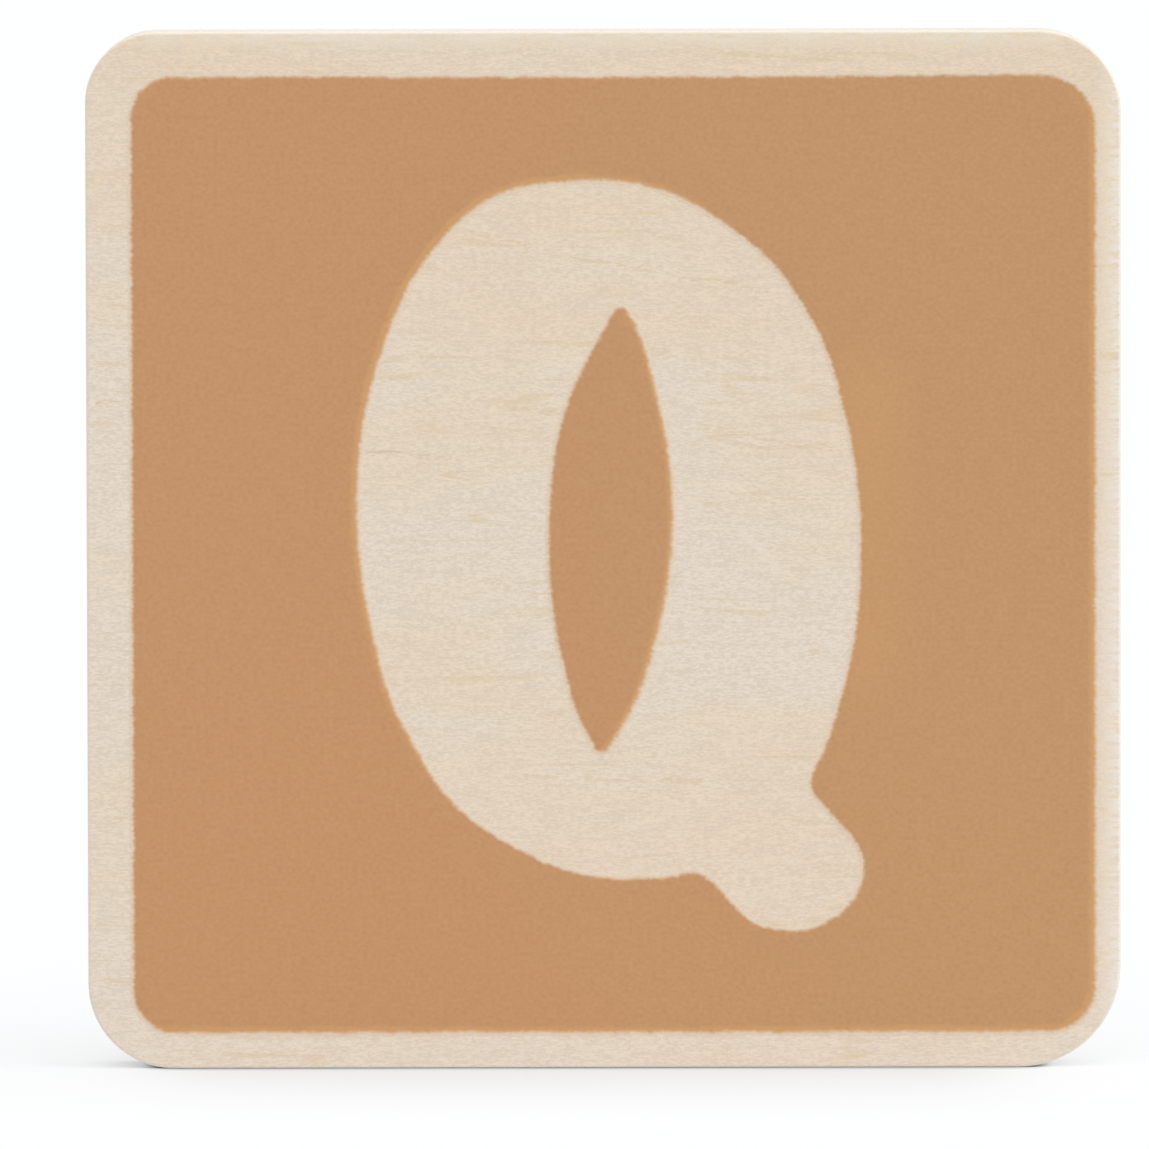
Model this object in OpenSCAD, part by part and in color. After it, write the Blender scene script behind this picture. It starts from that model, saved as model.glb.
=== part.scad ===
// Letter tile: a square of five-ply board with rounded corners, printed on its front.
// It stands on its bottom edge. +Z is up, the printed front faces -Y, and the origin is
// at the middle of the bottom edge. Sizes are in millimetres and angles in degrees.

/* [Board] */
// Width of the tile
tile_w = 69.7; // [66:0.1:90]
// Height of the tile
tile_h = 70; // [66:0.1:90]
// Radii of the corners from the front: top left, top right, bottom left, bottom right
corner_r = [4.8, 5.5, 5.8, 6.2]; // [3:0.1:9]
// Radius of the sanded edge round the front and the back
arris_r = 0.2; // [0.1:0.05:0.6]

/* [Lay-up] */
// Thickness of the front and back face veneers, whose grain runs sideways
face_t = 1.0; // [0.7:0.05:1.4]
// Thickness of the two crossbands, whose grain runs upright
crossband_t = 1.2; // [0.8:0.05:1.6]
// Thickness of the core veneer, whose grain runs sideways
core_t = 1.2; // [0.8:0.05:1.6]
// Thickness of each glue line
glue_t = 0.1; // [0.06:0.01:0.2]
// How far each glue line stops short of the sanded edge
glue_inset = 0.05; // [0.02:0.01:0.2]

/* [Printed field] */
// Thickness of the ink
ink_t = 0.08; // [0.06:0.01:0.15]
// Mean bare border at the left and right of the field
border_x = 2.4; // [1.5:0.1:3.5]
// Mean bare border above and below the field
border_z = 2.75; // [1.5:0.05:3.5]
// Radii of the field's corners: top left, top right, bottom left, bottom right
field_r = [2.8, 3.4, 2.8, 3.2]; // [1:0.1:6]
// How far the print has drifted to the right on the board
print_dx = 0.65; // [-1.2:0.05:1.2]
// How far the print has drifted upwards on the board
print_dz = -0.3; // [-1.2:0.05:1.2]

/* [Letter] */
// Width of the bowl
bowl_w = 34; // [32:0.5:35.5]
// Height of the bowl
bowl_h = 47.2; // [42:0.2:50]
// Radius of the bowl's top and bottom arcs
bowl_end_r = 15.2; // [14.3:0.1:15.8]
// Lean of the bowl, counted to the left at its top
bowl_lean = 5; // [-3:0.5:10]
// Width of the counter, the island inside the bowl
counter_w = 8.3; // [5:0.1:12]
// Height of the counter
counter_h = 30.2; // [22:0.2:34]
// Radius of the counter's two tips
counter_end_r = 0.5; // [0.3:0.05:2]
// Lean of the counter, counted to the left at its top
counter_lean = -2.5; // [-10:0.5:10]
// Width of the tail
tail_w = 9; // [5:0.1:12]
// Length of the tail between the centres of its two round ends
tail_len = 10.5; // [7:0.5:11]
// How steeply the tail runs down to the right
tail_angle = 40; // [35:1:55]
// Radius of the two inner corners where the tail leaves the bowl
notch_r = 1.5; // [0.5:0.1:2]

/* [Hidden] */

$fn = 144;

// Places on the face, from the middle of the tile: [to the right, up]
field_at = [print_dx, print_dz];
bowl_at = [0.4, 1.4];
counter_at = [0.45, 1.3];
tail_end_at = [13, -21.4];

// Middle of the bowl's bottom arc, seen from the end of the tail: [along the tail, across it]
foot_at = bowl_at + (bowl_h / 2 - bowl_end_r) * [sin(bowl_lean), -cos(bowl_lean)];
foot_gap = foot_at - tail_end_at;
foot_in_tail = [
    foot_gap.x * cos(tail_angle) - foot_gap.y * sin(tail_angle),
    foot_gap.x * sin(tail_angle) + foot_gap.y * cos(tail_angle),
];

// Depths of the layers, from the back of the board to its front
back_glue_d = face_t;
back_crossband_d = back_glue_d + glue_t;
back_core_glue_d = back_crossband_d + crossband_t;
core_d = back_core_glue_d + glue_t;
front_core_glue_d = core_d + core_t;
front_crossband_d = front_core_glue_d + glue_t;
front_glue_d = front_crossband_d + crossband_t;
front_face_d = front_glue_d + glue_t;
board_t = front_face_d + face_t;

// Corners in the order of their radii: [to the right, up]
CORNERS = [[-1, 1], [1, 1], [-1, -1], [1, -1]];

// Sides: [turn from the right-hand side, corner at the start, corner at the end]
SIDES = [[0, 3, 1], [90, 1, 0], [180, 0, 2], [270, 2, 3]];

// Width of the straight rims round a face veneer
rim_w = max(corner_r);

face_colour = "#e4d6c3";
crossband_colour = "#d8c3a0";
core_colour = "#decdae";
glue_colour = "#9a7748";
ink_colour = "#c4956a";

// Stands a layer upright with its back at a depth of the board. The layer is drawn lying
// down, with its back at z = 0 and its front upwards.
module at_depth(depth) {
    translate([0, board_t / 2 - depth, tile_h / 2])
        rotate([90, 0, 0])
            children();
}

// Rectangle with round corners, each of its own radius
module rounded_rect(w, h, radii) {
    difference() {
        square([w, h], center = true);
        for (i = [0:3])
            translate([CORNERS[i][0] * w / 2, CORNERS[i][1] * h / 2])
                square(2 * radii[i], center = true);
    }
    for (i = [0:3])
        translate([CORNERS[i][0] * (w / 2 - radii[i]), CORNERS[i][1] * (h / 2 - radii[i])])
            circle(radii[i]);
}

// Oval of four arcs that run into each other: two flat ones at the sides and two tight
// ones at the ends. Its centres follow from its width, its height and its end radius.
module four_arc_oval(w, h, end_r) {
    end_z = h / 2 - end_r;
    side_r = (pow(w / 2, 2) + pow(end_z, 2) - pow(end_r, 2)) / (w - 2 * end_r);
    side_x = side_r - w / 2;
    join_z = end_z * side_r / (side_r - end_r);
    intersection() {
        translate([side_x, 0])
            circle(side_r);
        translate([-side_x, 0])
            circle(side_r);
        square([2 * w, 2 * join_z], center = true);
    }
    for (s = [-1, 1])
        translate([0, s * end_z])
            circle(end_r);
}

// One layer of the board with square edges, set in from the tile's outline
module plain_layer(t, inset = 0) {
    linear_extrude(t)
        rounded_rect(tile_w - 2 * inset, tile_h - 2 * inset, [for (r = corner_r) r - inset]);
}

// Section through the rim of a face veneer, from its inside outwards, with the front edge
// sanded round
module rim_section(w) {
    square([w - arris_r, face_t]);
    square([w, face_t - arris_r]);
    translate([w - arris_r, face_t - arris_r])
        circle(arris_r);
}

// A straight length of that rim along one side of the tile
module rim_side(length) {
    rotate([90, 0, 0])
        linear_extrude(length, center = true)
            rim_section(rim_w);
}

// Face veneer: a flat middle, four straight rims and four corners turned from the same section
module face_veneer() {
    translate([0, 0, face_t / 2])
        cube([tile_w - 2 * rim_w, tile_h - 2 * rim_w, face_t], center = true);
    for (side = SIDES) {
        upright = side[0] % 180 == 0;
        out = (upright ? tile_w : tile_h) / 2;
        run = upright ? tile_h : tile_w;
        start_r = corner_r[side[1]];
        end_r = corner_r[side[2]];
        rotate(side[0]) {
            translate([out - rim_w, (start_r - end_r) / 2, 0])
                rim_side(run - start_r - end_r);
            translate([out - end_r, run / 2 - end_r, 0])
                rotate_extrude(angle = 90)
                    rim_section(end_r);
        }
    }
}

// Fills the inner corner between the bowl and one side of the tail with an arc that runs
// into both. The side is 1 above the tail and -1 below it.
module notch_fill(side) {
    arc_y = side * (tail_w / 2 + notch_r);
    arc_x = foot_in_tail.x + sqrt(pow(bowl_end_r + notch_r, 2) - pow(arc_y - foot_in_tail.y, 2));
    difference() {
        polygon([foot_in_tail, [arc_x, side * tail_w / 2], [arc_x, arc_y]]);
        translate([arc_x, arc_y])
            circle(notch_r);
    }
}

// Outline of the letter with its bowl filled in
module letter_outline() {
    translate(bowl_at)
        rotate(bowl_lean)
            four_arc_oval(bowl_w, bowl_h, bowl_end_r);
    translate(tail_end_at)
        rotate(-tail_angle) {
            circle(d = tail_w);
            translate([-tail_len, 0])
                circle(d = tail_w);
            translate([-tail_len / 2, 0])
                square([tail_len, tail_w], center = true);
            for (side = [-1, 1])
                notch_fill(side);
        }
}

module front_face_veneer() {
    color(face_colour)
        at_depth(front_face_d)
            face_veneer();
}

module front_glue_line() {
    color(glue_colour)
        at_depth(front_glue_d)
            plain_layer(glue_t, glue_inset);
}

module front_crossband() {
    color(crossband_colour)
        at_depth(front_crossband_d)
            plain_layer(crossband_t);
}

module front_core_glue_line() {
    color(glue_colour)
        at_depth(front_core_glue_d)
            plain_layer(glue_t, glue_inset);
}

module core_veneer() {
    color(core_colour)
        at_depth(core_d)
            plain_layer(core_t);
}

module back_core_glue_line() {
    color(glue_colour)
        at_depth(back_core_glue_d)
            plain_layer(glue_t, glue_inset);
}

module back_crossband() {
    color(crossband_colour)
        at_depth(back_crossband_d)
            plain_layer(crossband_t);
}

module back_glue_line() {
    color(glue_colour)
        at_depth(back_glue_d)
            plain_layer(glue_t, glue_inset);
}

// The same veneer as at the front, turned round so that its sanded edge is at the back
module back_face_veneer() {
    color(face_colour)
        at_depth(face_t)
            mirror([0, 0, 1])
                face_veneer();
}

// Ink round the letter, with the letter left open to the bare wood
module printed_field() {
    color(ink_colour)
        at_depth(board_t)
            linear_extrude(ink_t)
                difference() {
                    translate(field_at)
                        rounded_rect(tile_w - 2 * border_x, tile_h - 2 * border_z, field_r);
                    letter_outline();
                }
}

// Island of ink inside the letter's bowl
module printed_counter() {
    color(ink_colour)
        at_depth(board_t)
            linear_extrude(ink_t)
                translate(counter_at)
                    rotate(counter_lean)
                        four_arc_oval(counter_w, counter_h, counter_end_r);
}

front_face_veneer();
front_glue_line();
front_crossband();
front_core_glue_line();
core_veneer();
back_core_glue_line();
back_crossband();
back_glue_line();
back_face_veneer();
printed_field();
printed_counter();
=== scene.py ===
"""Letter tile of five-ply board with a printed front, dressed for rendering.

The tile stands upright on its bottom edge. Lengths are metres, X runs to the right as the
letter is read, the printed front faces -Y and Z is up.
"""
from math import exp, radians
from typing import NamedTuple

import bmesh
import bpy
from bpy.props import FloatProperty, FloatVectorProperty, IntProperty, PointerProperty
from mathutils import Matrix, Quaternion, Vector, noise


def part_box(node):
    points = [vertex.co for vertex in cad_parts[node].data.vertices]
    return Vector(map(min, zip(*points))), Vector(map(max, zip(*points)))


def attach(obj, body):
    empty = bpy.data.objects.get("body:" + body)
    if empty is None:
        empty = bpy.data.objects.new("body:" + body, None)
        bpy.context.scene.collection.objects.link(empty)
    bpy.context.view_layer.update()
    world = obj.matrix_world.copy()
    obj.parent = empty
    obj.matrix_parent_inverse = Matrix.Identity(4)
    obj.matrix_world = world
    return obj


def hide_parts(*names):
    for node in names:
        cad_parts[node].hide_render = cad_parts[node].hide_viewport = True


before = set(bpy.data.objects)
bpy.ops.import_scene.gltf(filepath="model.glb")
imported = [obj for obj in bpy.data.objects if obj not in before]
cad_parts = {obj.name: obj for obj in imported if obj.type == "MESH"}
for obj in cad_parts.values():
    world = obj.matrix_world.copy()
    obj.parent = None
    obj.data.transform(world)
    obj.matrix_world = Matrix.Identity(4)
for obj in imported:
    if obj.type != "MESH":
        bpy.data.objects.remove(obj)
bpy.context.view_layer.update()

bl_info = {
    "name": "Letter Tile",
    "version": (1, 0, 0),
    "blender": (4, 5, 0),
    "location": "View3D > Sidebar > Letter Tile",
    "description": "Dresses a plywood letter tile and sets a white studio round it",
    "category": "Add Mesh",
}

MM = 0.001
X, Y, Z = 0, 1, 2
# Places closer together than this are one place
WELD = 0.001 * MM
WHITE = (1.0, 1.0, 1.0, 1.0)
BLACK = (0.0, 0.0, 0.0, 1.0)
# Middle level of a pattern that runs from 0 to 1
MIDDLE = 0.5

# Turns between two faces: above the first an edge is shaded sharp, above the second it is a rim
SHARP_TURN = radians(35)
RIM_TURN = radians(45)
# Straight sides are longer than the first length, and are cut into pieces of the second
LONG_SIDE = 10 * MM
SIDE_STEP = 1 * MM
# Lengths over which the plies wander: to the right, through the board and up
WANDER_CELL = (7 * MM, 2 * MM, 7 * MM)

# Faces of a CAD film whose normal has a smaller Y than this look to the front
FRONT_NORMAL = -0.5
# Way the wet ink crept along the board: to the right and down
CREEP = Vector((0.75, 0.0, -0.66))
# The ink's own attributes: distance inside its edge, and the way out at the edge
INSIDE = "inside"
OUTWARD = "outward"

# Share of a stroke's width, from its middle, that has full strength
STROKE_CORE = 0.1
# Half the width of the floor
FLOOR_HALF = 6.0
# Nearest and furthest distance that the camera sees
CAMERA_RANGE = (0.05, 50.0)


def srgb(red, green, blue):
    """Linear colour of three levels from 0 to 255, as a picture shows them."""
    def linear(level):
        part = level / 255
        return part / 12.92 if part <= 0.04045 else ((part + 0.055) / 1.055) ** 2.4
    return linear(red), linear(green), linear(blue), 1.0


def length(name, description, default):
    """A length that a user can change."""
    return FloatProperty(name=name, description=description, default=default, unit="LENGTH",
                         subtype="DISTANCE", precision=5)


def factor(name, description, default):
    """A share from 0 to 1 that a user can change."""
    return FloatProperty(name=name, description=description, default=default, subtype="FACTOR",
                         min=0.0, max=1.0)


def number(name, description, default):
    """A strength or a power that a user can change."""
    return FloatProperty(name=name, description=description, default=default)


def angle(name, description, default):
    """An angle that a user can change."""
    return FloatProperty(name=name, description=description, default=default, unit="ROTATION",
                         subtype="ANGLE", precision=4)


def steps(name, description, default):
    """A number of faces that a user can change."""
    return IntProperty(name=name, description=description, default=default, min=1)


def colour(name, description, default):
    """A colour that a user can change."""
    return FloatVectorProperty(name=name, description=description, default=default, size=4,
                               min=0.0, max=1.0, subtype="COLOR")


def point(name, description, default):
    """A place that a user can change."""
    return FloatVectorProperty(name=name, description=description, default=default, unit="LENGTH",
                               subtype="TRANSLATION", precision=5)


def direction(name, description, default):
    """A way that a user can change."""
    return FloatVectorProperty(name=name, description=description, default=default,
                               subtype="DIRECTION")


class TileBoard(bpy.types.PropertyGroup):
    """Sizes of the five-ply board that the frame's boxes don't give."""
    corner_radii: FloatVectorProperty(
        name="Corner radii", description="Top left, top right, bottom left and bottom right",
        default=(4.8 * MM, 5.5 * MM, 5.8 * MM, 6.9 * MM), size=4, unit="LENGTH", precision=5)
    arris_radius: length("Arris radius", "Radius of the sanded edge round front and back", 0.2 * MM)
    glue_inset: length("Glue inset", "How far the glue lines stop short of the edge", 0.05 * MM)
    wander: length("Ply wander", "How far the glue lines wander from flat", 0.09 * MM)
    corner_steps: steps("Corner steps", "Faces round each corner", 24)
    arris_steps: steps("Arris steps", "Faces across the sanded edge", 6)


class TilePrint(bpy.types.PropertyGroup):
    """How the ink lies on the wood."""
    field_rim: length("Field rim", "Width of the finely divided rim of the field", 0.7 * MM)
    island_rim: length("Island rim", "The same on the island, less than its tips' radius", 0.45 * MM)
    soak: length("Soak", "Width over which the ink thins out into the wood", 0.38 * MM)
    spread: length("Spread", "How far the thinned ink reaches past the printed outline", 0.16 * MM)
    creep: length("Creep", "How much further it crept to the right and down", 0.11 * MM)
    feather: length("Feather", "How much thinner the ink is at its edge", 0.06 * MM)
    ragged: length("Raggedness", "How far fibres draw the ink's edge in and out", 0.13 * MM)
    bleed: length("Bleed", "How much further single fibres draw the ink", 0.25 * MM)
    step: length("Edge step", "Spacing of the points along the ink's edge", 0.06 * MM)
    straight: length("Straight", "Longer edges of the outline are straight, others are arcs", 4 * MM)


class TileColours(bpy.types.PropertyGroup):
    """Colours of wood, glue and ink."""
    wood: colour("Face wood", "Bare face veneer", srgb(230, 216, 199))
    wood_warm: colour("Warm wood", "Yellower parts of the face veneer", srgb(231, 211, 183))
    wood_shade: colour("Fibre shade", "Darker fibres of the face veneer", srgb(212, 194, 174))
    figure: colour("Figure", "Yellow-brown lines between growth rings", srgb(214, 188, 140))
    pore: colour("Pores", "Open pores and end grain", srgb(186, 160, 124))
    # Paler wood of the scratch, and painted highlight on the edges and along the right and top of the
    # front
    sanded: colour("Sanded wood", "Paler wood of scratches and rubbed edges", srgb(245, 238, 228))
    crossband: colour("Crossband wood", "Inner veneers with upright grain", srgb(221, 201, 168))
    core: colour("Core wood", "Middle veneer", srgb(226, 209, 180))
    glue: colour("Glue", "Glue lines between the veneers", srgb(154, 119, 72))
    ink: colour("Ink", "Tan printing ink", srgb(195, 145, 102))
    ink_cool: colour("Cooler ink", "Tan ink where the print came out greener", srgb(193, 147, 103))
    ink_thin: colour("Thin ink", "Tan ink where it lies thinner", srgb(203, 155, 114))
    ink_thick: colour("Thick ink", "Tan ink where it lies thicker", srgb(184, 133, 91))
    ink_rim: colour("Ink rim", "Ink that has gathered near its edge", srgb(208, 158, 103))
    ink_fringe: colour("Ink fringe", "Wood stained by the last of the ink", srgb(226, 207, 184))


class TileFinish(bpy.types.PropertyGroup):
    """How strongly the tints show, and how rough, shiny and deep the surfaces are."""
    fibre_shade: factor("Fibre shade", "Strength of the darker fibres", 0.66)
    growth_lines: factor("Growth lines", "Strength of the lines between growth rings", 0.38)
    # Paler rubbed wood and painted highlight on every side face and arris
    rubbed_edge_and_highlight: factor("Rubbed edge", "Strength of the paler wood round the edges", 0.75)
    end_grain: factor("End grain", "Strength of the pores where the fibres end", 0.2)
    wood_rough: factor("Wood roughness", "Roughness of the bare faces", 0.52)
    fibre_rough: factor("Fibre roughness", "How much rougher the darker fibres are", 0.12)
    edge_smooth: factor("Edge smoothness", "How much smoother the edges are", 0.28)
    wood_shine: factor("Wood shine", "Strength of the wood's reflections", 0.5)
    wood_relief: length("Wood relief", "Depth of the fibres", 0.012 * MM)
    glue_rough: factor("Glue roughness", "Roughness of the glue", 0.45)
    glue_uneven: factor("Glue unevenness", "How much rougher the soaked patches are", 0.2)
    glue_shine: factor("Glue shine", "Strength of the glue's reflections", 0.4)
    glue_relief: length("Glue relief", "Depth of the soaked patches", 0.01 * MM)
    ink_mottle: factor("Ink mottle", "Strength of the thicker and the thinner ink", 0.33)
    ink_gathered: factor("Gathered ink", "Strength of the ink gathered near its edge", 0.65)
    ink_rough: factor("Ink roughness", "Roughness of the ink", 0.6)
    ink_uneven: factor("Ink unevenness", "How much rougher its dots are", 0.15)
    ink_shine: factor("Ink shine", "Strength of the ink's reflections", 0.2)
    ink_relief: length("Ink relief", "Depth of its dots", 0.006 * MM)


class TileStage(bpy.types.PropertyGroup):
    """Camera, lamps and floor."""
    camera_at: point("Camera place", "Where the camera stands", (0.0, -1.1, 0.105))
    aim: point("Aim", "Point in the middle of the picture", (-0.00197, -0.003, 0.03339))
    roll: angle("Roll", "Turn of the camera about its line of sight", radians(-0.115))
    lens: FloatProperty(name="Lens", description="Focal length of the camera", default=511.0,
                        unit="CAMERA", subtype="DISTANCE_CAMERA")
    sky: number("Sky", "Brightness of the white room", 0.55)
    overhead: number("Overhead lamp", "Strength of the soft lamp above", 1.45)
    overhead_way: direction("Overhead way", "Way that the lamp above shines", (-0.1, 0.42, -0.9))
    side: number("Side lamp", "Strength of the soft lamp at the right", 1.0)
    side_way: direction("Side way", "Way that the lamp at the right shines", (-0.95, 0.1, -0.3))
    lamp_angle: angle("Lamp size", "Angle that each lamp fills, seen from the tile", radians(60))
    floor: colour("Floor", "Matt white floor", (0.90, 0.94, 0.98, 1.0))
    # The floor's white share is emission seen by the camera; the soft shadow and the contact shadow are
    # painted into it
    floor_white: factor("Floor white", "Share of the floor that the lamps don't shade", 0.75)
    shadow_reach: length("Shadow reach", "How far the soft shadow spreads over the floor", 38 * MM)
    shadow_fade: number("Shadow fade", "Power that lightens the soft shadow", 0.33)
    shadow_end: length("Shadow end", "Length over which it gets lighter at the corners", 12 * MM)
    shadow_rest: FloatVectorProperty(
        name="Shadow rest", description="Share of it past the left and the right corner",
        default=(0.35, 0.04), size=2, min=0.0, max=1.0)
    shadow_lean: length("Shadow lean", "How far it lies to the left, away from the lamp", 1.0 * MM)
    # The contact settings shape a painted contact shadow, a dark line on the floor under the tile's
    # bottom edge
    contact_reach: length("Contact reach", "How far the dark line under the tile spreads", 2.1 * MM)
    contact_dark: factor("Contact dark", "How dark the line under the tile gets", 0.72)
    contact_fall: number("Contact fall", "Power that narrows the line under the tile", 1.4)
    contact_past: length("Contact past", "How far it runs on under the round corners", 1.0 * MM)
    contact_end: length("Contact end", "Length over which it ends there", 3 * MM)


class Grain(NamedTuple):
    """A cloudy pattern: its cells along and across the fibres in millimetres, seed and detail."""
    along: float
    across: float
    seed: int
    detail: float = 2.0


class Sway(NamedTuple):
    """A wave that bends a pattern across its fibres: how far in millimetres, and its own pattern."""
    amount: float
    wave: Grain


class Band(NamedTuple):
    """Two levels between which a smooth step rises from 0 to 1."""
    low: float
    high: float


class Signal:
    """A shader socket that Python's operators turn into Math nodes."""

    def __init__(self, sheet, socket):
        self.sheet = sheet
        self.socket = socket

    def _math(self, operation, first, second):
        return self.sheet.add("ShaderNodeMath", {"operation": operation}, {0: first, 1: second})

    def __add__(self, other):
        return self._math("ADD", self, other)

    def __sub__(self, other):
        return self._math("SUBTRACT", self, other)

    def __rsub__(self, other):
        return self._math("SUBTRACT", other, self)

    def __mul__(self, other):
        return self._math("MULTIPLY", self, other)

    def __pow__(self, power):
        return self._math("POWER", self, power)

    def larger(self, other):
        return self._math("MAXIMUM", self, other)

    def away_from(self, level):
        return self._math("ABSOLUTE", self - level, 0.0)

    def centred(self):
        """A pattern from 0 to 1, moved to lie about zero."""
        return self - MIDDLE

    __radd__ = __add__
    __rmul__ = __mul__


class NodeSheet:
    """A node tree under construction. Patterns are drawn out along the fibre axis."""

    def __init__(self, owner, fibre=X):
        owner.use_nodes = True
        self.tree = owner.node_tree
        self.tree.nodes.clear()
        self.fibre = fibre

    def add(self, kind, settings=None, sockets=None, output=0):
        """Adds a node, sets it up, fills its sockets with values or links, and returns an output."""
        node = self.tree.nodes.new(kind)
        for name, value in (settings or {}).items():
            setattr(node, name, value)
        for key, value in (sockets or {}).items():
            if isinstance(value, Signal):
                self.tree.links.new(value.socket, node.inputs[key])
            else:
                node.inputs[key].default_value = value
        return Signal(self, node.outputs[output]) if node.outputs else None

    def place(self):
        return self.add("ShaderNodeTexCoord", output="Object")

    def along(self, place, axis):
        """How far a place lies along an axis."""
        return self.add("ShaderNodeSeparateXYZ", {}, {0: place}, axis)

    def attribute(self, name, output):
        return self.add("ShaderNodeAttribute", {"attribute_name": name}, {}, output)

    def mix(self, share, first, second):
        colours = {0: share, 6: first, 7: second}
        return self.add("ShaderNodeMix", {"data_type": "RGBA"}, colours, output=2)

    def between(self, value, band):
        """0 below a band, 1 above it, and a smooth step from one to the other."""
        return self.add("ShaderNodeMapRange", {"interpolation_type": "SMOOTHSTEP"},
                        {"Value": value, "From Min": band.low, "From Max": band.high})

    def pattern(self, place, grain):
        """Cloudy pattern from 0 to 1, drawn out along the fibres."""
        scale = [1 / (grain.across * MM)] * 3
        scale[self.fibre] = 1 / (grain.along * MM)
        start = (grain.seed, 2 * grain.seed, 3 * grain.seed)
        cells = self.add("ShaderNodeMapping", {}, {"Vector": place, "Location": start, "Scale": scale})
        return self.add("ShaderNodeTexNoise", {},
                        {"Vector": cells, "Scale": 1.0, "Detail": grain.detail})

    def vectors(self, operation, first, second, output=0):
        return self.add("ShaderNodeVectorMath", {"operation": operation}, {0: first, 1: second}, output)

    def turned_to(self, normal, axis):
        """1 where the surface looks along an axis, 0 where it runs along it."""
        way = [0.0, 0.0, 0.0]
        way[axis] = 1.0
        return self.vectors("DOT_PRODUCT", normal, way, output="Value") ** 2

    def stroke(self, place, start, end, width):
        """1 along the middle of a straight stroke between two places, 0 outside its width."""
        run = end - start
        reach = self.vectors("SUBTRACT", place, start)
        share = self.vectors("DOT_PRODUCT", reach, run / run.length_squared, output="Value")
        share = self.add("ShaderNodeClamp", {}, {"Value": share})
        nearest = self.add("ShaderNodeVectorMath", {"operation": "SCALE"}, {0: run, "Scale": share})
        gap = self.vectors("DISTANCE", reach, nearest, output="Value")
        return 1 - self.between(gap, Band(STROKE_CORE * width, width / 2))

    def swayed(self, place, sway):
        """The place, moved across the fibres by a wave."""
        wave = self.pattern(place, sway.wave).centred() * (sway.amount * MM)
        across = X if self.fibre == Z else Z
        moved = self.add("ShaderNodeCombineXYZ", {}, {across: wave})
        return self.vectors("ADD", place, moved)

    def finish(self, base, roughness, relief, depth, shine):
        """A matt surface whose relief is as deep as given."""
        bump = self.add("ShaderNodeBump", {}, {"Strength": 1.0, "Distance": depth, "Height": relief})
        shader = self.add("ShaderNodeBsdfPrincipled", {}, {
            "Base Color": base, "Roughness": roughness, "Specular IOR Level": shine, "Normal": bump})
        self.add("ShaderNodeOutputMaterial", {}, {"Surface": shader})


class Streak(NamedTuple):
    """A mark in the face's wood or ink, in millimetres from the middle of the tile's bottom edge."""
    start: tuple
    end: tuple
    width: float
    tint: str
    strength: float


# Growth lines, a pore, a scratch, and painted highlights along the right and top edges of the front
STREAKS = (
    Streak((-9.0, 56.5), (2.0, 54.0), 0.4, "figure", 0.46),
    Streak((2.0, 54.0), (11.6, 52.4), 0.35, "figure", 0.44),
    Streak((-7.0, 44.6), (-2.9, 44.2), 1.0, "figure", 0.34),
    Streak((-16.0, 41.6), (-11.7, 41.5), 0.25, "pore", 0.4),
    Streak((-15.5, 41.3), (-9.0, 41.0), 0.5, "figure", 0.38),
    Streak((6.6, 43.3), (16.0, 41.7), 0.6, "figure", 0.36),
    Streak((7.9, 38.8), (14.4, 38.4), 0.4, "figure", 0.46),
    Streak((9.3, 36.4), (11.8, 33.7), 0.9, "sanded", 0.24),
    Streak((-5.6, 20.0), (6.6, 19.3), 0.5, "figure", 0.36),
    Streak((9.2, 68.4), (15.4, 68.0), 0.6, "figure", 0.35),
    Streak((-34.8, 45.0), (-32.4, 45.1), 0.5, "figure", 0.4),
    # Painted highlight along the right edge of the front
    Streak((35.2, 2.0), (35.2, 68.0), 4.4, "sanded", 0.6),
    # Painted highlight along the top edge of the front
    Streak((-30.0, 70.2), (30.0, 70.2), 3.4, "sanded", 0.4),
)

# Paler patch of the print, to the right of the letter
LIGHTER_PRINT = Streak((17.4, 45.0), (17.2, 28.0), 9.5, "ink_rim", 0.5)

# Waves that bend the wood's fibres
LONG_SWAY = Sway(3.0, Grain(30.0, 14.0, seed=1, detail=1.0))
FINE_RIPPLE = Sway(0.16, Grain(1.3, 0.8, seed=8, detail=1.0))
STREAK_WAVER = Sway(0.9, Grain(2.6, 1.1, seed=10, detail=1.0))

# Patterns in the wood, from large to fine
WOOD_CLOUDS = Grain(22.0, 7.0, seed=2, detail=3.0)
RINGS = Grain(34.0, 2.2, seed=3)
RING_PATCHES = Grain(7.0, 1.6, seed=9)
COARSE_FIBRES = Grain(1.2, 0.24, seed=4)
FINE_FIBRES = Grain(0.45, 0.125, seed=5)
FUZZ = Grain(0.2, 0.11, seed=6, detail=1.0)

# Parts of the face that are warmer or cooler, by how much, and the levels of cool and warm wood
UPPER_PART = Band(46 * MM, 58 * MM)
UPPER_WARMTH = 0.27
LOWER_AT = 17 * MM
LOWER_PART = Band(4 * MM, 12 * MM)
LOWER_WARMTH = 0.11
RIGHT_PART = Band(-30 * MM, -5 * MM)
LEFT_COOLNESS = 0.15
WARM_TONE = Band(0.33, 0.83)

# Levels at which growth lines show, how wide they are, and levels at which streaks don't break up
LINE_PATCHES = Band(0.47, 0.63)
LINE_WIDTH = Band(0.003, 0.022)
UNBROKEN = Band(0.4, 0.58)
# Parts of the coarse fibres, the fine fibres and the fuzz in the shade, and its levels
COARSE_PART, FINE_PART, FUZZ_PART = 0.26, 0.48, 0.26
SHADED = Band(0.4, 0.6)

# Patches where glue has soaked in, and their levels
GLUE_PATCHES = Grain(1.6, 0.5, seed=1, detail=3.0)
SOAKED = Band(0.35, 0.7)

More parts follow.
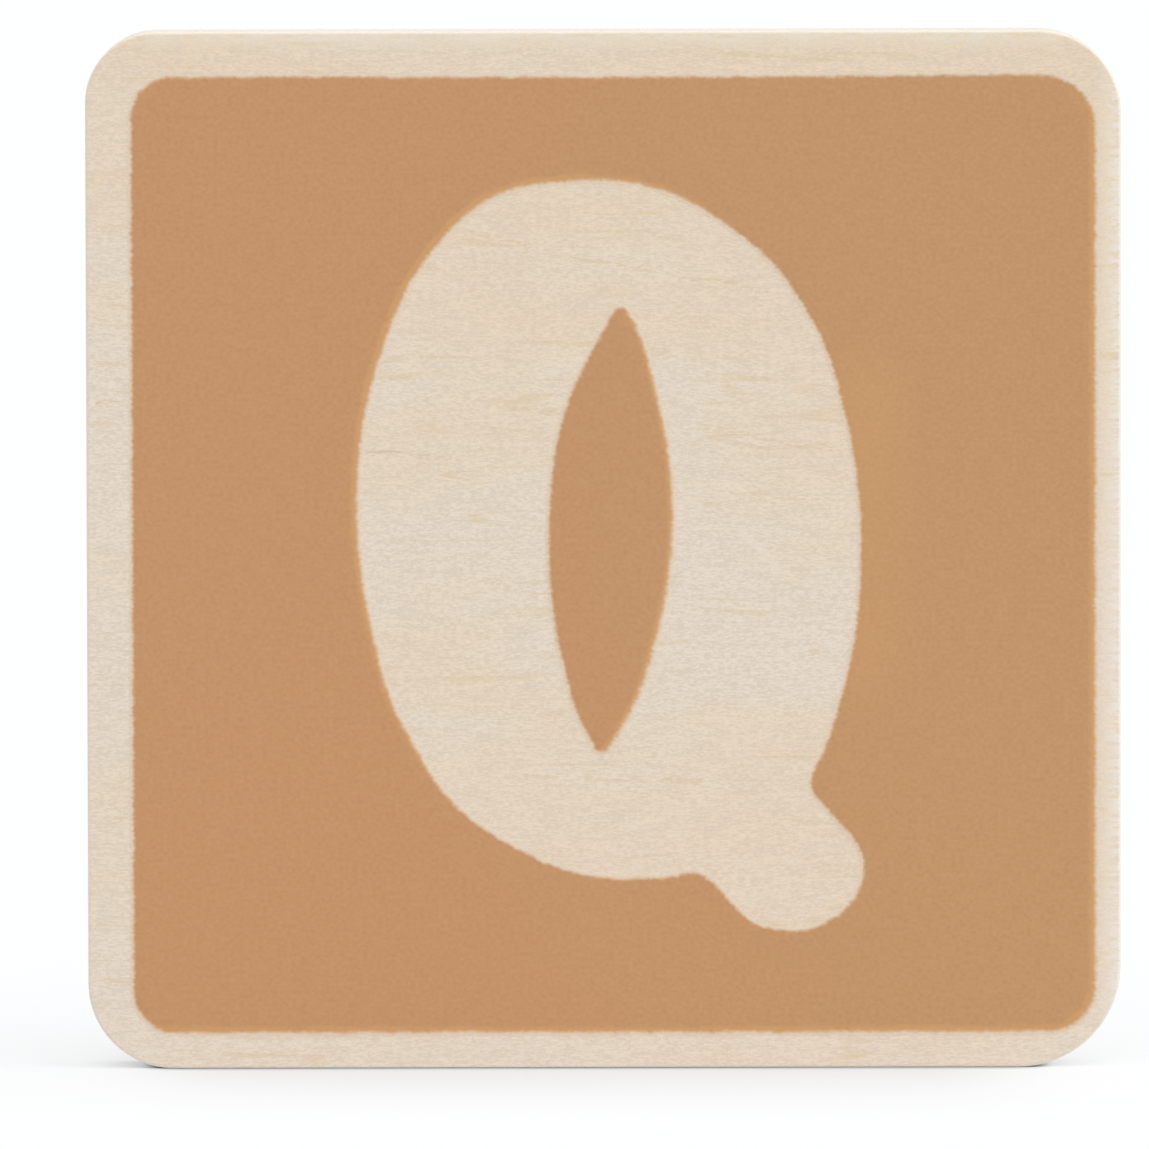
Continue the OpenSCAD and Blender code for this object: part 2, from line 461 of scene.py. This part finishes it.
# Patterns in the ink, from large to fine
INK_CLOUDS = Grain(9.0, 9.0, seed=1, detail=3.0)
INK_FIBRES = Grain(1.2, 0.4, seed=4)
INK_BLOTCHES = Grain(1.1, 0.8, seed=3)
INK_DOTS = Grain(0.32, 0.28, seed=2)

# The print gets cooler to the right, along a border that the clouds move
COOLER_RIGHT = Band(-14 * MM, 22 * MM)
CLOUD_DRIFT = 30 * MM
# Parts of the dots and the blotches in the ink's depth, and its levels
DOT_PART, BLOTCH_PART = 0.75, 0.25
INK_DEPTH = Band(0.3, 0.7)
THIN_INK = Band(0.0, 0.5)
THICK_INK = Band(0.5, 1.0)
# Ink gathers along its rim and where it crept, more on some fibres than on others
GATHERING_RIM = Band(0.0, 0.8 * MM)
RIM_PART = 0.25
FIBRE_SWING = 1.8
GATHERED = Band(0.1, 0.5)
# How far dots and fibres draw the ink's fringe in and out
FRINGE_SWING = 0.2 * MM


def streak_ends(streak):
    """Both ends of a streak on the front of the board."""
    face_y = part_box("front_face_veneer")[0].y
    return [Vector((x * MM, face_y, z * MM)) for x, z in (streak.start, streak.end)]


def warm_tone(sheet, place):
    """How warm the wood is: cloudy, warmer at the top and low down, cooler at the left."""
    height = sheet.along(place, Z)
    upper = sheet.between(height, UPPER_PART)
    lower = 1 - sheet.between(height.away_from(LOWER_AT), LOWER_PART)
    left = 1 - sheet.between(sheet.along(place, X), RIGHT_PART)
    clouds = sheet.pattern(place, WOOD_CLOUDS)
    warmth = clouds + UPPER_WARMTH * upper + LOWER_WARMTH * lower - LEFT_COOLNESS * left
    return sheet.between(warmth, WARM_TONE)


def wood_material(name, fibre, wood, warm, streaks=()):
    """Pale veneer: wavy fibres, growth lines, darker end grain, streaks where given, and paler sides
    and arrises that are partly rubbed wood and partly a painted highlight.
    """
    tints = bpy.context.scene.tile_colours
    look = bpy.context.scene.tile_finish
    material = bpy.data.materials.new(name)
    sheet = NodeSheet(material, fibre)
    place = sheet.place()
    swayed = sheet.swayed(place, LONG_SWAY)
    rippled = sheet.swayed(swayed, FINE_RIPPLE)
    wavering = sheet.swayed(place, STREAK_WAVER)
    rings = sheet.pattern(swayed, RINGS)
    patches = sheet.between(sheet.pattern(place, RING_PATCHES), LINE_PATCHES)
    lines = patches * (1 - sheet.between(rings.away_from(MIDDLE), LINE_WIDTH))
    coarse = sheet.pattern(rippled, COARSE_FIBRES)
    fine = sheet.pattern(rippled, FINE_FIBRES)
    fuzz = sheet.pattern(place, FUZZ)
    unbroken = sheet.between(0.5 * fine + 0.5 * coarse, UNBROKEN)
    shade = sheet.between(COARSE_PART * coarse + FINE_PART * fine + FUZZ_PART * fuzz, SHADED)
    normal = sheet.add("ShaderNodeTexCoord", output="Normal")
    edge = 1 - sheet.turned_to(normal, Y)
    end_grain = sheet.turned_to(normal, fibre)
    base = sheet.mix(warm_tone(sheet, swayed), wood, warm)
    base = sheet.mix(look.fibre_shade * shade, base, tints.wood_shade)
    base = sheet.mix(look.growth_lines * lines, base, tints.figure)
    for streak in streaks:
        mark = sheet.stroke(wavering, *streak_ends(streak), streak.width * MM) * unbroken
        base = sheet.mix(streak.strength * mark, base, getattr(tints, streak.tint))
    # Sides and arrises turn paler: partly rubbed wood, partly a painted highlight
    base = sheet.mix(look.rubbed_edge_and_highlight * edge, base, tints.sanded)
    base = sheet.mix(look.end_grain * end_grain, base, tints.pore)
    roughness = look.wood_rough + look.fibre_rough * shade - look.edge_smooth * edge
    sheet.finish(base, roughness, fine, look.wood_relief, look.wood_shine)
    return material


def glue_material():
    """Thin glue with cloudy soaked patches."""
    tints = bpy.context.scene.tile_colours
    look = bpy.context.scene.tile_finish
    material = bpy.data.materials.new("glue_line")
    sheet = NodeSheet(material)
    soaked = sheet.pattern(sheet.place(), GLUE_PATCHES)
    base = sheet.mix(sheet.between(soaked, SOAKED), tints.glue, tints.pore)
    roughness = look.glue_rough + look.glue_uneven * soaked
    sheet.finish(base, roughness, soaked, look.glue_relief, look.glue_shine)
    return material


def ink_material():
    """Matt ink: fine mottling, a slow drift, a stronger rim and a stained fringe."""
    tints = bpy.context.scene.tile_colours
    look = bpy.context.scene.tile_finish
    ink = bpy.context.scene.tile_print
    material = bpy.data.materials.new("tan_ink")
    sheet = NodeSheet(material)
    place = sheet.place()
    clouds = sheet.pattern(place, INK_CLOUDS)
    dots = sheet.pattern(place, INK_DOTS)
    blotches = sheet.pattern(place, INK_BLOTCHES)
    fibres = sheet.pattern(place, INK_FIBRES)
    drift = sheet.between(sheet.along(place, X) + CLOUD_DRIFT * clouds.centred(), COOLER_RIGHT)
    depth = sheet.between(DOT_PART * dots + BLOTCH_PART * blotches, INK_DEPTH)
    thick = sheet.between(depth, THICK_INK)
    thin = 1 - sheet.between(depth, THIN_INK)
    outward = sheet.attribute(OUTWARD, "Vector")
    inside = sheet.attribute(INSIDE, "Fac")
    creep = sheet.vectors("DOT_PRODUCT", outward, CREEP, output="Value").larger(0.0)
    close = 1 - sheet.between(inside, GATHERING_RIM)
    uneven = 1 + FIBRE_SWING * fibres.centred()
    gathered = sheet.between((RIM_PART * close + creep) * uneven, GATHERED)
    drawn = FRINGE_SWING * dots.centred() + FRINGE_SWING * fibres.centred()
    covered = sheet.between(inside + drawn, Band(0.0, ink.soak))
    patch = sheet.stroke(place, *streak_ends(LIGHTER_PRINT), LIGHTER_PRINT.width * MM)
    lighter = LIGHTER_PRINT.strength * patch * clouds
    base = sheet.mix(drift, tints.ink, tints.ink_cool)
    base = sheet.mix(look.ink_mottle * thick, base, tints.ink_thick)
    base = sheet.mix(look.ink_mottle * thin, base, tints.ink_thin)
    base = sheet.mix(lighter, base, getattr(tints, LIGHTER_PRINT.tint))
    base = sheet.mix(look.ink_gathered * gathered, base, tints.ink_rim)
    base = sheet.mix(covered, tints.ink_fringe, base)
    roughness = look.ink_rough + look.ink_uneven * dots
    sheet.finish(base, roughness, dots, look.ink_relief, look.ink_shine)
    return material


def add_piece(name, bm, material, node):
    """Makes a bmesh a piece of the tile that stands for one CAD node."""
    mesh = bpy.data.meshes.new(name)
    bm.to_mesh(mesh)
    bm.free()
    mesh.shade_smooth()
    mesh.set_sharp_from_angle(angle=SHARP_TURN)
    mesh.materials.append(material)
    piece = bpy.data.objects.new(name, mesh)
    bpy.context.scene.collection.objects.link(piece)
    normals = piece.modifiers.new("flat_faces_stay_flat", "WEIGHTED_NORMAL")
    normals.keep_sharp = True
    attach(piece, "root")
    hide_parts(node)


def blank_sheet(node, inset=0.0):
    """A sheet as large as a CAD node's box, with round corners tightened by an inset."""
    board = bpy.context.scene.tile_board
    low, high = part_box(node)
    middle = (low + high) / 2
    bm = bmesh.new()
    bmesh.ops.create_cube(bm, size=1.0)
    bmesh.ops.scale(bm, vec=high - low, verts=bm.verts)
    bmesh.ops.translate(bm, vec=middle, verts=bm.verts)
    through = [edge for edge in bm.edges if abs((edge.verts[0].co - edge.verts[1].co).y) > WELD]
    for edge in through:
        at = edge.verts[0].co - middle
        radius = board.corner_radii[2 * (at.z < 0) + (at.x > 0)] - inset
        bmesh.ops.bevel(bm, geom=[edge], offset=radius, segments=board.corner_steps, profile=0.5,
                        affect="EDGES", material=-1)
    return bm


def cut_sides(bm):
    """Cuts the long straight sides into short lengths, right round the sheet."""
    for axis in (X, Z):
        long_edges = [edge for edge in bm.edges
                      if abs((edge.verts[0].co - edge.verts[1].co)[axis]) > LONG_SIDE]
        cuts = int(long_edges[0].calc_length() / SIDE_STEP)
        bmesh.ops.subdivide_edges(bm, edges=long_edges, cuts=cuts, use_grid_fill=True)


def let_plies_wander(bm, outer_planes=()):
    """Moves the faces between two layers in and out a little. Both layers at a face move alike."""
    wander = bpy.context.scene.tile_board.wander
    for vert in bm.verts:
        if all(abs(vert.co.y - plane) > WELD for plane in outer_planes):
            cell = Vector([at / size for at, size in zip(vert.co, WANDER_CELL)])
            vert.co.y += wander * noise.noise(cell)


class TILE_OT_face_veneers(bpy.types.Operator):
    """Make the two face veneers with their sanded edges"""
    bl_idname = "tile.face_veneers"
    bl_label = "Face Veneers"

    def execute(self, context):
        board = context.scene.tile_board
        tints = context.scene.tile_colours
        material = wood_material("face_wood", X, tints.wood, tints.wood_warm, STREAKS)
        for side in ("front", "back"):
            node = f"{side}_face_veneer"
            low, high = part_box(node)
            outer = low.y if side == "front" else high.y
            bm = blank_sheet(node)
            cut_sides(bm)
            rim = [edge for edge in bm.edges if edge.calc_face_angle() > RIM_TURN
                   and all(abs(vert.co.y - outer) < WELD for vert in edge.verts)]
            let_plies_wander(bm, (outer,))
            bmesh.ops.bevel(bm, geom=rim, offset=board.arris_radius, segments=board.arris_steps,
                            profile=0.5, affect="EDGES", material=-1)
            add_piece(f"{side}_face_sheet", bm, material, node)
        return {"FINISHED"}


class TILE_OT_inner_veneers(bpy.types.Operator):
    """Make the core veneer and the two crossbands"""
    bl_idname = "tile.inner_veneers"
    bl_label = "Inner Veneers"

    def execute(self, context):
        tints = context.scene.tile_colours
        upright = wood_material("crossband_wood", Z, tints.crossband, tints.core)
        sideways = wood_material("core_wood", X, tints.core, tints.wood_warm)
        for node, material, slot in (("front_crossband", upright, "crossband"),
                                     ("core_veneer", sideways, "core"),
                                     ("back_crossband", upright, "crossband")):
            bm = blank_sheet(node)
            cut_sides(bm)
            let_plies_wander(bm)
            add_piece(f"{node}_sheet", bm, material, node)
        return {"FINISHED"}


class TILE_OT_glue_lines(bpy.types.Operator):
    """Make the four glue lines between the veneers"""
    bl_idname = "tile.glue_lines"
    bl_label = "Glue Lines"

    def execute(self, context):
        board = context.scene.tile_board
        material = glue_material()
        for node in ("front_glue_line", "front_core_glue_line",
                     "back_core_glue_line", "back_glue_line"):
            bm = blank_sheet(node, board.glue_inset)
            cut_sides(bm)
            let_plies_wander(bm)
            add_piece(f"{node}_film", bm, material, node)
        return {"FINISHED"}


class Swell(NamedTuple):
    """A stretch where the print runs off its drawn arcs, in millimetres on the tile's front."""
    at: tuple
    reach: float
    shift: tuple


# Round the bowl from its upper left, then the tail's top and end, the bowl's foot, the island,
# the tail's lower side and the field's top edge
SWELLS = (
    Swell((-7.6, 58.4), 4.6, (-0.25, 0.58)),
    Swell((8.6, 57.2), 3.4, (-0.16, -0.25)),
    Swell((14.6, 48.6), 3.4, (0.24, 0.1)),
    Swell((17.4, 34.0), 6.0, (-0.17, 0.0)),
    Swell((16.2, 25.0), 4.0, (-0.14, 0.04)),
    Swell((16.4, 16.6), 1.9, (-0.34, -0.24)),
    Swell((15.4, 9.8), 2.6, (-0.16, 0.24)),
    Swell((5.2, 13.0), 2.4, (0.0, -0.3)),
    Swell((-6.0, 14.8), 4.0, (0.14, 0.27)),
    Swell((-14.2, 25.2), 2.6, (-0.2, -0.08)),
    Swell((-14.6, 49.8), 3.4, (0.14, -0.06)),
    Swell((-2.4, 43.4), 4.6, (-0.28, 0.08)),
    Swell((2.3, 49.2), 2.4, (0.2, 0.06)),
    Swell((-0.1, 21.2), 1.6, (0.0, 0.2)),
    Swell((-1.8, 24.4), 2.0, (-0.14, 0.0)),
    Swell((2.2, 25.4), 2.0, (0.13, 0.0)),
    Swell((7.0, 12.8), 1.3, (0.1, 0.24)),
    Swell((9.8, 10.5), 1.7, (-0.22, -0.26)),
    Swell((12.4, 9.0), 1.6, (0.0, 0.14)),
    Swell((-21.0, 66.6), 7.0, (0.0, 0.1)),
    Swell((24.0, 66.6), 8.0, (0.0, 0.12)),
)

# Parts of the fine and the slow pull of the fibres, and the level above which single ones bleed
FINE_PULL, SLOW_PULL = 0.6, 0.5
BLEEDING = 0.45


def off_the_arcs(at):
    """How far the print has run off its drawn arcs at a place."""
    shift = Vector()
    for swell in SWELLS:
        gap = Vector((at.x / MM - swell.at[0], at.z / MM - swell.at[1]))
        share = exp(-(gap.length / swell.reach) ** 2)
        shift += share * MM * Vector((swell.shift[0], 0.0, swell.shift[1]))
    return shift


def fibre_noise(at, grain):
    """Noise from -1 to 1 at a place on the front, drawn out along the fibres."""
    return noise.noise(Vector((at.x / (grain.along * MM), at.z / (grain.across * MM), grain.seed)))


def fibre_pull(at):
    """How far the fibres at a place draw the edge of the ink outwards."""
    ink = bpy.context.scene.tile_print
    fine = fibre_noise(at, Grain(0.7, 0.16, seed=3))
    slow = fibre_noise(at, Grain(1.9, 0.6, seed=7))
    single = fibre_noise(at, Grain(1.3, 0.2, seed=11))
    return ink.ragged * (FINE_PULL * fine + SLOW_PULL * slow) + ink.bleed * max(0.0, single - BLEEDING)


def arc_radius(edge, outward):
    """Radius of the arc that an edge of an outline cuts short, below zero where it is hollow."""
    first, last = edge.verts
    turn = first[outward] - last[outward]
    return (first.co - last.co).dot(turn) / turn.length_squared if turn.length_squared else 0.0


def front_of(node):
    """The front faces of a CAD film."""
    bm = bmesh.new()
    bm.from_mesh(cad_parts[node].data)
    bmesh.ops.remove_doubles(bm, verts=bm.verts, dist=WELD)
    behind = [face for face in bm.faces if face.normal.y > FRONT_NORMAL]
    bmesh.ops.delete(bm, geom=behind, context="FACES")
    return bm


def mark_rim(bm, width):
    """Gives each point its distance inside the ink's edge, and edge points the way out."""
    ink = bpy.context.scene.tile_print
    inside = bm.verts.layers.float.new(INSIDE)
    outward = bm.verts.layers.float_vector.new(OUTWARD)
    for vert in bm.verts:
        vert[inside] = width + ink.spread
        if vert.is_boundary:
            rung = next(edge for edge in vert.link_edges if not edge.is_boundary)
            vert[inside] = 0.0
            vert[outward] = (vert.co - rung.other_vert(vert).co).normalized()


def divide_rim(bm, rim_faces):
    """Divides the rim finely along the ink's edge, and moves the new edge points out to the arcs."""
    ink = bpy.context.scene.tile_print
    outward = bm.verts.layers.float_vector[OUTWARD]
    for face in rim_faces:
        outer = next(edge for edge in face.edges if edge.is_boundary)
        inner = next(edge for edge in face.edges if not set(edge.verts) & set(outer.verts))
        bend = 0.0 if outer.calc_length() > ink.straight else arc_radius(outer, outward)
        cuts = int(outer.calc_length() / ink.step)
        split = bmesh.ops.subdivide_edges(bm, edges=[outer, inner], cuts=cuts, use_grid_fill=True)
        for part in split["geom_inner"]:
            if isinstance(part, bmesh.types.BMVert) and part.is_boundary:
                part.co += bend * (1 - part[outward].length) * part[outward].normalized()


def draw_ink_out(bm):
    """Moves the ink off its drawn arcs, and its edge as far as it spread, crept and was pulled."""
    ink = bpy.context.scene.tile_print
    outward = bm.verts.layers.float_vector[OUTWARD]
    for vert in bm.verts:
        vert.co += off_the_arcs(vert.co)
        if vert.is_boundary:
            way = vert[outward].normalized()
            crept = ink.spread + ink.creep * max(0.0, way.dot(CREEP))
            vert.co += way * (fibre_pull(vert.co) + crept)


def ink_film(node, rim_width):
    """The film of a CAD node, with an edge that fibres have drawn out and where it is thinner."""
    ink = bpy.context.scene.tile_print
    low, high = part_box(node)
    bm = front_of(node)
    rim = bmesh.ops.inset_region(bm, faces=bm.faces[:], thickness=rim_width, use_boundary=True,
                                 use_even_offset=True)
    mark_rim(bm, rim_width)
    divide_rim(bm, rim["faces"])
    draw_ink_out(bm)
    bmesh.ops.solidify(bm, geom=bm.faces[:], thickness=high.y - low.y)
    inside = bm.verts.layers.float[INSIDE]
    for vert in bm.verts:
        if vert[inside] < WELD and abs(vert.co.y - low.y) < WELD:
            vert.co.y += ink.feather
    return bm


class TILE_OT_print(bpy.types.Operator):
    """Print the ink field and the island inside the letter"""
    bl_idname = "tile.print"
    bl_label = "Print"

    def execute(self, context):
        ink = context.scene.tile_print
        material = ink_material()
        for node, rim_width in (("printed_field", ink.field_rim), ("printed_counter", ink.island_rim)):
            add_piece(f"{node}_film", ink_film(node, rim_width), material, node)
        return {"FINISHED"}


# Stretch of the floor over which the shadow past the corners changes from the left share to the right
SHADOW_SIDES = Band(-20 * MM, 20 * MM)


def seen_directly(sheet):
    """1 where a ray comes from the camera, a reflection or through glass."""
    rays = [sheet.add("ShaderNodeLightPath", output=name)
            for name in ("Is Camera Ray", "Is Glossy Ray", "Is Transmission Ray")]
    return rays[0].larger(rays[1]).larger(rays[2])


def open_share(sheet, reach):
    """Share of the sky above the floor that nothing within reach closes off."""
    return sheet.add("ShaderNodeAmbientOcclusion", {}, {"Distance": reach}, output="AO")


def touched(sheet, fade, lean=0.0, past=0.0):
    """Mask for the floor's painted shadows: 1 along the straight edge that the tile stands on, 0 beyond
    the round corners.
    """
    low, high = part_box("core_veneer")
    left, right = bpy.context.scene.tile_board.corner_radii[2:]
    ends = (low.x + left, high.x - right)
    half = (ends[1] - ends[0]) / 2 + past
    gap = sheet.along(sheet.place(), X).away_from(sum(ends) / 2 - lean)
    return 1 - sheet.between(gap, Band(half - fade / 2, half + fade / 2))


def floor_material():
    """Matt white floor whose white, as the camera sees it, carries a painted soft shadow round the tile
    and a painted contact shadow, a dark line under it.
    """
    stage = bpy.context.scene.tile_stage
    material = bpy.data.materials.new("white_floor")
    sheet = NodeSheet(material)
    left, right = stage.shadow_rest
    # Painted soft shadow: the floor's white darkened by ambient occlusion, less past the corners
    rest = left + (right - left) * sheet.between(sheet.along(sheet.place(), X), SHADOW_SIDES)
    full = rest + (1 - rest) * touched(sheet, stage.shadow_end, lean=stage.shadow_lean)
    shadow = open_share(sheet, stage.shadow_reach) ** (stage.shadow_fade * full)
    # Right beside the tile half of the sky is closed off, so twice the closed share is 1 there
    closed = 2 - 2 * open_share(sheet, stage.contact_reach)
    # Painted contact shadow: a dark line along the tile's bottom edge, from ambient occlusion close by
    dark = stage.contact_dark * touched(sheet, stage.contact_end, past=stage.contact_past)
    line = 1 - dark * closed ** stage.contact_fall
    paper = sheet.mix(shadow * line, BLACK, WHITE)
    matt = sheet.add("ShaderNodeBsdfDiffuse", {}, {"Color": stage.floor})
    white = sheet.add("ShaderNodeEmission", {}, {"Color": paper, "Strength": 1.0})
    unshaded = stage.floor_white * seen_directly(sheet)
    shader = sheet.add("ShaderNodeMixShader", {}, {0: unshaded, 1: matt, 2: white})
    sheet.add("ShaderNodeOutputMaterial", {}, {"Surface": shader})
    return material


class TILE_OT_stage(bpy.types.Operator):
    """Set the white room, its two soft lamps, the floor and the camera"""
    bl_idname = "tile.stage"
    bl_label = "Stage"

    def execute(self, context):
        stage = context.scene.tile_stage
        self.light_room(context, stage)
        self.lay_floor(context)
        self.set_camera(context, stage)
        context.scene.view_settings.view_transform = "Standard"
        return {"FINISHED"}

    def light_room(self, context, stage):
        world = bpy.data.worlds.new("white_room")
        context.scene.world = world
        sheet = NodeSheet(world)
        strength = stage.sky + (1 - stage.sky) * seen_directly(sheet)
        room = sheet.add("ShaderNodeBackground", {}, {"Color": WHITE, "Strength": strength})
        sheet.add("ShaderNodeOutputWorld", {}, {"Surface": room})
        for name, energy, way in (("overhead", stage.overhead, stage.overhead_way),
                                  ("side", stage.side, stage.side_way)):
            lamp = bpy.data.lights.new(name, "SUN")
            lamp.energy = energy
            lamp.angle = stage.lamp_angle
            sun = bpy.data.objects.new(name, lamp)
            context.scene.collection.objects.link(sun)
            sun.rotation_mode = "QUATERNION"
            sun.rotation_quaternion = Vector(way).to_track_quat("-Z", "Y")

    def lay_floor(self, context):
        bm = bmesh.new()
        bmesh.ops.create_grid(bm, x_segments=1, y_segments=1, size=FLOOR_HALF)
        mesh = bpy.data.meshes.new("floor")
        bm.to_mesh(mesh)
        bm.free()
        mesh.materials.append(floor_material())
        floor = bpy.data.objects.new("floor", mesh)
        context.scene.collection.objects.link(floor)

    def set_camera(self, context, stage):
        data = bpy.data.cameras.new("camera")
        data.lens = stage.lens
        data.clip_start, data.clip_end = CAMERA_RANGE
        camera = bpy.data.objects.new("camera", data)
        context.scene.collection.objects.link(camera)
        sight = Vector(stage.aim) - Vector(stage.camera_at)
        camera.location = stage.camera_at
        camera.rotation_mode = "QUATERNION"
        camera.rotation_quaternion = sight.to_track_quat("-Z", "Y") @ Quaternion((0, 0, 1), stage.roll)
        context.scene.camera = camera


class TILE_PT_sidebar(bpy.types.Panel):
    """Lists the steps that dress the tile"""
    bl_idname = "TILE_PT_sidebar"
    bl_label = "Letter Tile"
    bl_space_type = "VIEW_3D"
    bl_region_type = "UI"
    bl_category = "Letter Tile"

    def draw(self, context):
        for step in STEPS:
            self.layout.operator(step.bl_idname)


GROUPS = {
    "tile_board": TileBoard,
    "tile_print": TilePrint,
    "tile_colours": TileColours,
    "tile_finish": TileFinish,
    "tile_stage": TileStage,
}
STEPS = (
    TILE_OT_face_veneers,
    TILE_OT_inner_veneers,
    TILE_OT_glue_lines,
    TILE_OT_print,
    TILE_OT_stage,
)


def register():
    for cls in (*GROUPS.values(), *STEPS, TILE_PT_sidebar):
        bpy.utils.register_class(cls)
    for name, group in GROUPS.items():
        setattr(bpy.types.Scene, name, PointerProperty(type=group))


def unregister():
    for name in GROUPS:
        delattr(bpy.types.Scene, name)
    for cls in (TILE_PT_sidebar, *reversed(STEPS), *reversed(GROUPS.values())):
        bpy.utils.unregister_class(cls)


def main():
    register()
    bpy.ops.tile.face_veneers()
    bpy.ops.tile.inner_veneers()
    bpy.ops.tile.glue_lines()
    bpy.ops.tile.print()
    bpy.ops.tile.stage()


if __name__ == "__main__":
    main()
